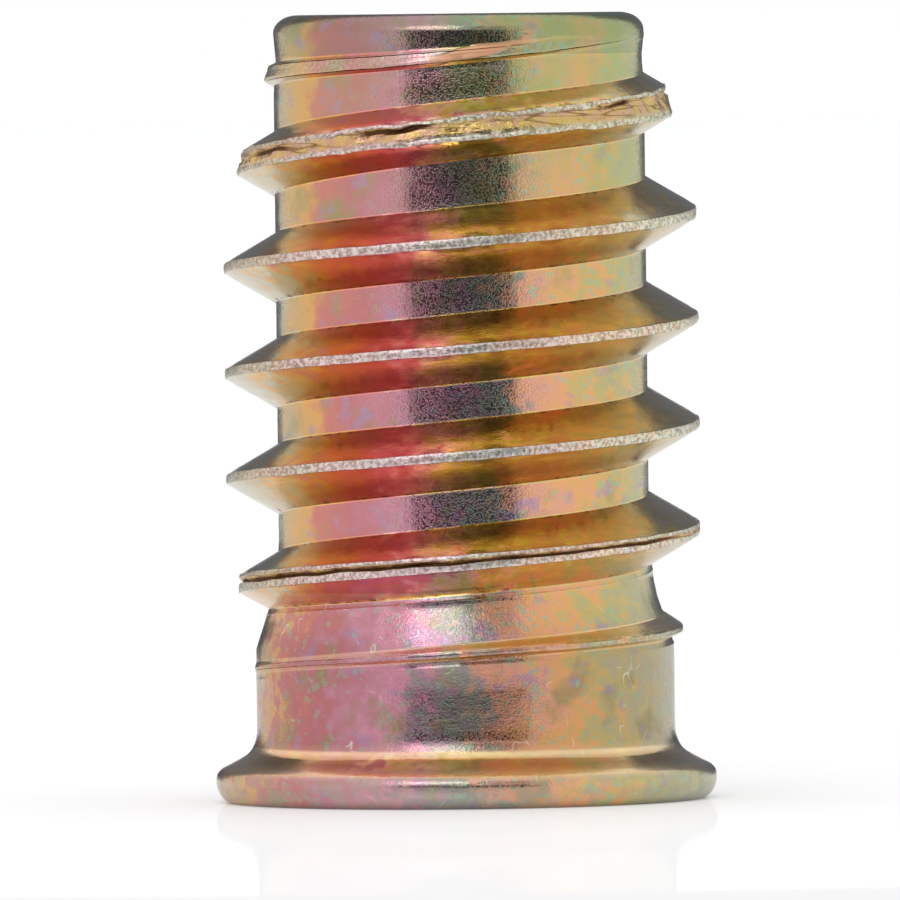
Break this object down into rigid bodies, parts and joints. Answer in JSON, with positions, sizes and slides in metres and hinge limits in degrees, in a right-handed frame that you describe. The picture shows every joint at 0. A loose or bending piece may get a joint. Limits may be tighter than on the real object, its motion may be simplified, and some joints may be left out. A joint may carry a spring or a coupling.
{
  "type": "threaded insert",
  "caption": "Flanged screw-in insert for wood: coarse outer thread, threaded through bore and a hexagonal drive socket in the flanged end.",
  "frame": {"origin": "centre of the flange's outer face, on the bore's axis", "axes": "+Z along the bore from the flange to the plain pilot end; +X through a corner of the hexagonal socket"},
  "size_m": [0.0128, 0.0128, 0.02],
  "materials": {
    "plated_steel": "iridescent yellow passivated zinc plating on thread-rolled steel"
  },
  "bodies": {
    "root": {"threaded_insert": "plated_steel"}
  },
  "joints": []
}
